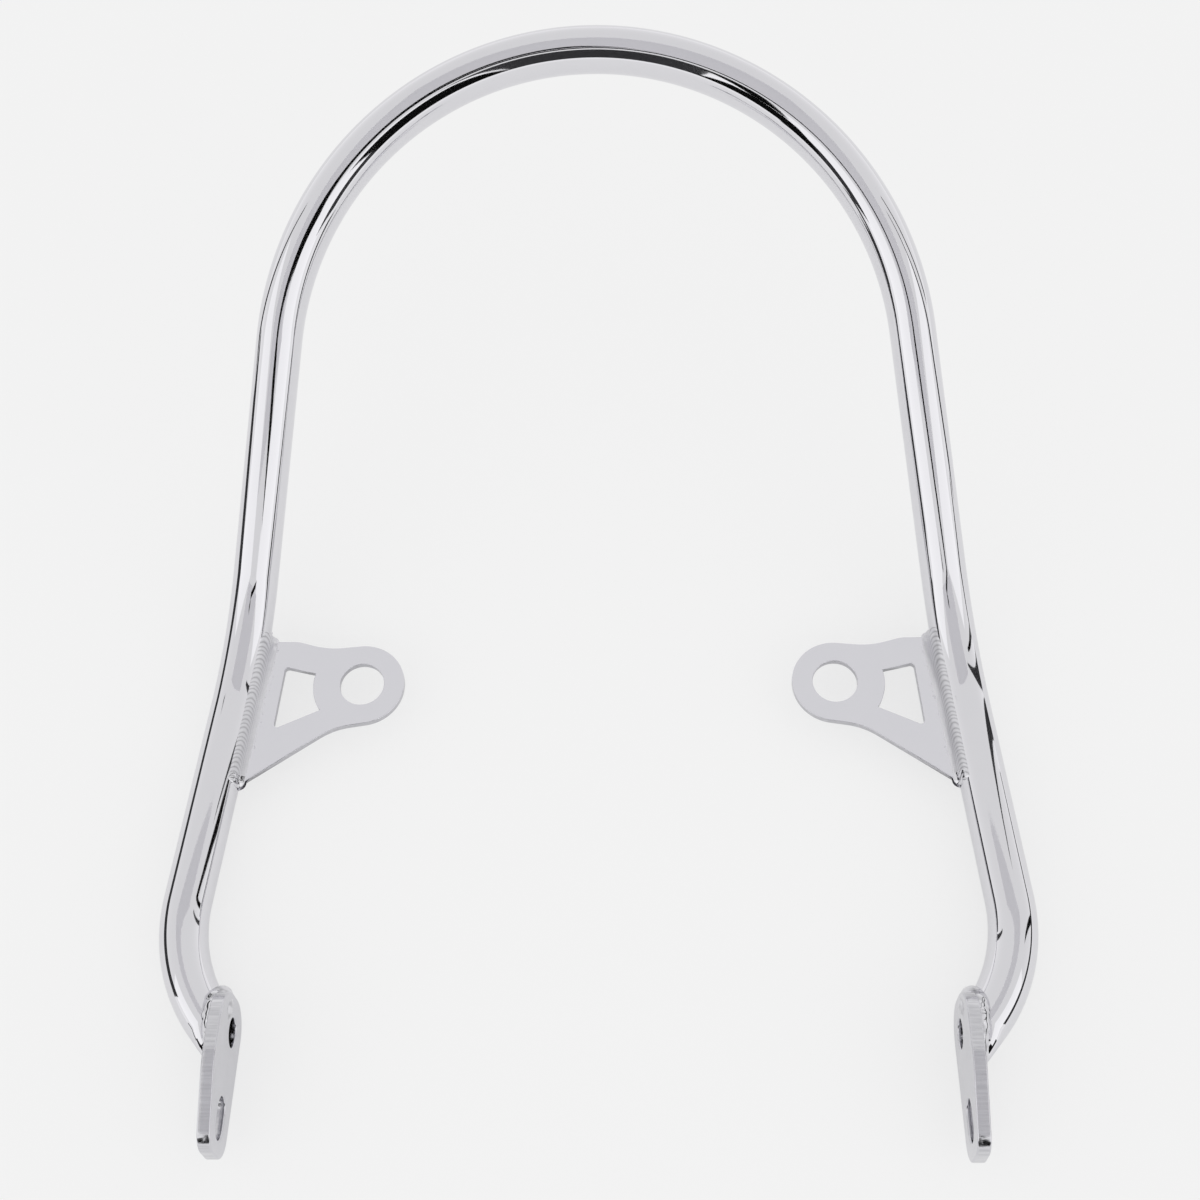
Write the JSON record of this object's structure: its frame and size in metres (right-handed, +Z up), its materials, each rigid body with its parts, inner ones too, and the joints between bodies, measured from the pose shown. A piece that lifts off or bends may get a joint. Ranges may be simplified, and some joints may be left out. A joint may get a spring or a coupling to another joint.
{
  "type": "motorcycle passenger grab rail",
  "caption": "Chromed bent-tube passenger grab rail: a sloping arch on splayed runs, with drilled gusset plates and slotted end tabs welded on for bolting to a motorcycle tail.",
  "frame": {"origin": "midway between the two gusset holes, on the mid-plane of the gusset plates", "axes": "+X to the rail's right, +Y rearward towards the arch, +Z up, square to the gusset plates"},
  "size_m": [0.34, 0.417, 0.1607],
  "materials": {
    "chrome_tube": "bright chrome plate on steel tube",
    "chrome_plate": "bright chrome plate on flat steel",
    "chrome_weld": "chrome plate over rippled weld bead"
  },
  "bodies": {
    "root": {"rail_tube": "chrome_tube", "left_gusset": "chrome_plate", "right_gusset": "chrome_plate", "left_end_tab": "chrome_plate", "right_end_tab": "chrome_plate", "left_gusset_weld_upper": "chrome_weld", "right_gusset_weld_upper": "chrome_weld", "left_gusset_weld_lower": "chrome_weld", "right_gusset_weld_lower": "chrome_weld", "left_tab_weld": "chrome_weld", "right_tab_weld": "chrome_weld"}
  },
  "joints": []
}
